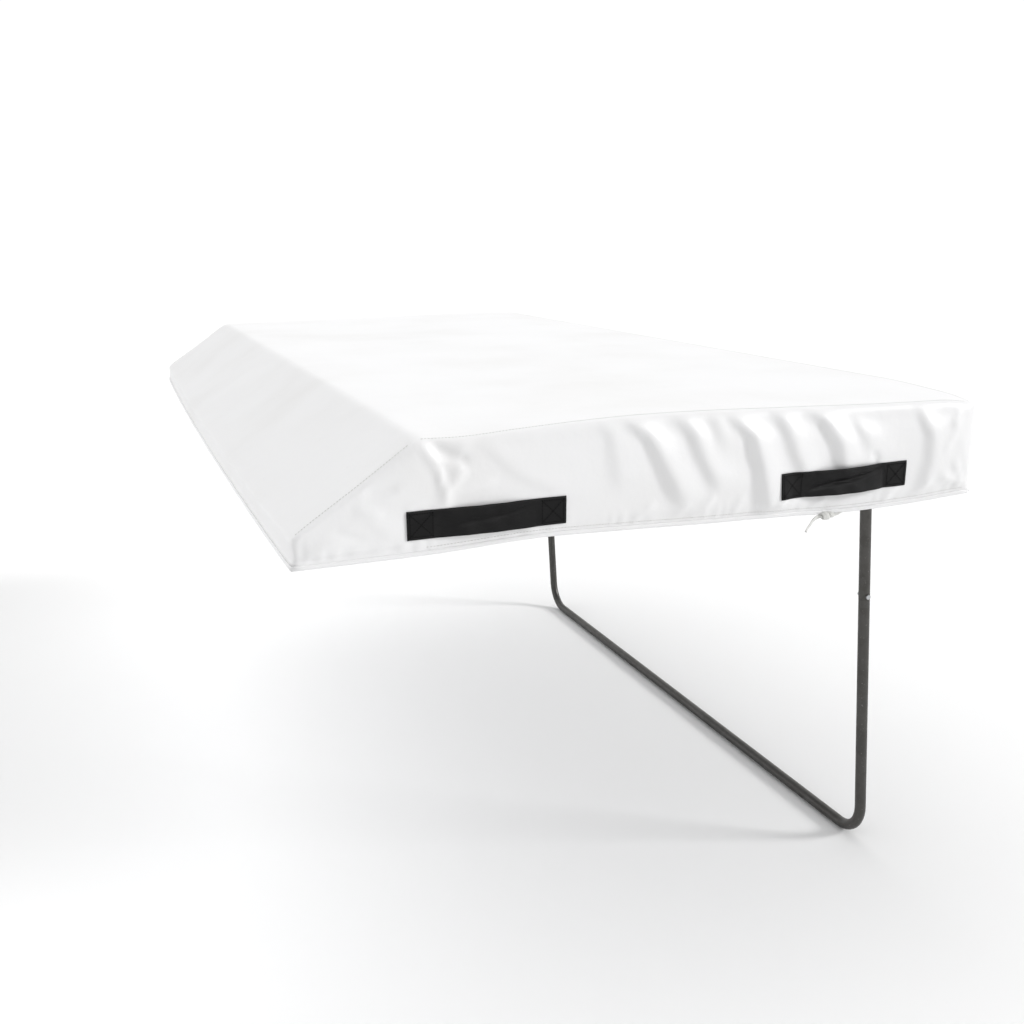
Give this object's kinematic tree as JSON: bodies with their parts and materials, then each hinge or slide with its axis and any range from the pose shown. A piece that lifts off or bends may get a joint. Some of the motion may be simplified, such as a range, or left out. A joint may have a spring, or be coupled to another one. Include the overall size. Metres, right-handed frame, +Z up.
{
  "type": "trampoline end deck",
  "caption": "Padded end deck: foam landing mat with wedge and webbing handles on a strapped steel frame that hooks to an end rail and stands on a folding U leg.",
  "frame": {"origin": "on the axis of the trampoline's end rail that the hooks grip, half way between the two hooks", "axes": "+X outward from the trampoline towards the stand, +Y across along the rail, +Z up"},
  "size_m": [1.4461, 2.7808, 1.1914],
  "materials": {
    "cover_vinyl": "satin",
    "base_vinyl": "matte",
    "foam_soft": "matte",
    "foam_firm": "matte",
    "black_webbing": "matte",
    "deck_webbing": "matte",
    "white_tape": "matte",
    "zip_tape": "matte",
    "zip_metal": "satin",
    "galvanised_steel": "satin",
    "zinc_plate": "satin",
    "keeper_steel": "satin",
    "black_rubber": "matte",
    "black_plastic": "matte",
    "nylon": "matte"
  },
  "bodies": {
    "deck_frame": {"inner_rail": "galvanised_steel", "outer_rail": "galvanised_steel", "side_rail_near": "galvanised_steel", "side_rail_far": "galvanised_steel", "deck_ribs": "galvanised_steel", "deck_straps": "deck_webbing", "rail_end_caps": "black_plastic", "hook_near": "galvanised_steel", "hook_far": "galvanised_steel", "hook_liner_near": "black_rubber", "hook_liner_far": "black_rubber", "keeper_screws": "zinc_plate", "hinge_bracket_near": "galvanised_steel", "hinge_bracket_far": "galvanised_steel", "hinge_bolts": "zinc_plate", "hinge_nuts": "zinc_plate", "hinge_washers": "nylon"},
    "mat": {"mat_cover": "cover_vinyl", "mat_base": "base_vinyl", "foam_wedge": "foam_soft", "foam_soft_layer": "foam_soft", "foam_firm_layer": "foam_firm", "handle_near_inner": "black_webbing", "handle_near_outer": "black_webbing", "handle_far_inner": "black_webbing", "handle_far_outer": "black_webbing", "zip_chain": "zip_tape", "tie_tape": "white_tape", "tie_knot": "white_tape"},
    "zip_runner": {"zip_slider": "zip_metal", "zip_pull": "zip_metal"},
    "stand": {"leg_near": "galvanised_steel", "leg_far": "galvanised_steel", "leg_bushes": "zinc_plate", "leg_top_plugs": "black_plastic", "spigot_near": "galvanised_steel", "spigot_far": "galvanised_steel", "spigot_bolts": "zinc_plate", "spigot_nuts": "zinc_plate", "stand_base": "galvanised_steel"},
    "keeper_near_plate": {"keeper_near": "keeper_steel"},
    "keeper_far_plate": {"keeper_far": "keeper_steel"}
  },
  "joints": [
    {"name": "mat_lift", "type": "slide", "parent": "deck_frame", "child": "mat", "axis": [0, 0, 1], "range_m": [0, 0.3]},
    {"name": "stand_fold", "type": "hinge", "parent": "deck_frame", "child": "stand", "pos_m": [0.846, 0, 0.02505], "axis": [0, 1, 0], "range_deg": [0, 92.6]},
    {"name": "keeper_near_turn", "type": "hinge", "parent": "deck_frame", "child": "keeper_near_plate", "pos_m": [0.0312, -0.8578, -0.011], "axis": [0, -1, 0], "range_deg": [0, 100]},
    {"name": "keeper_far_turn", "type": "hinge", "parent": "deck_frame", "child": "keeper_far_plate", "pos_m": [0.0312, 0.8578, -0.011], "axis": [0, -1, 0], "range_deg": [0, 100]},
    {"name": "zip_travel", "type": "slide", "parent": "mat", "child": "zip_runner", "axis": [0, 1, 0], "range_m": [0, 2.568]}
  ]
}
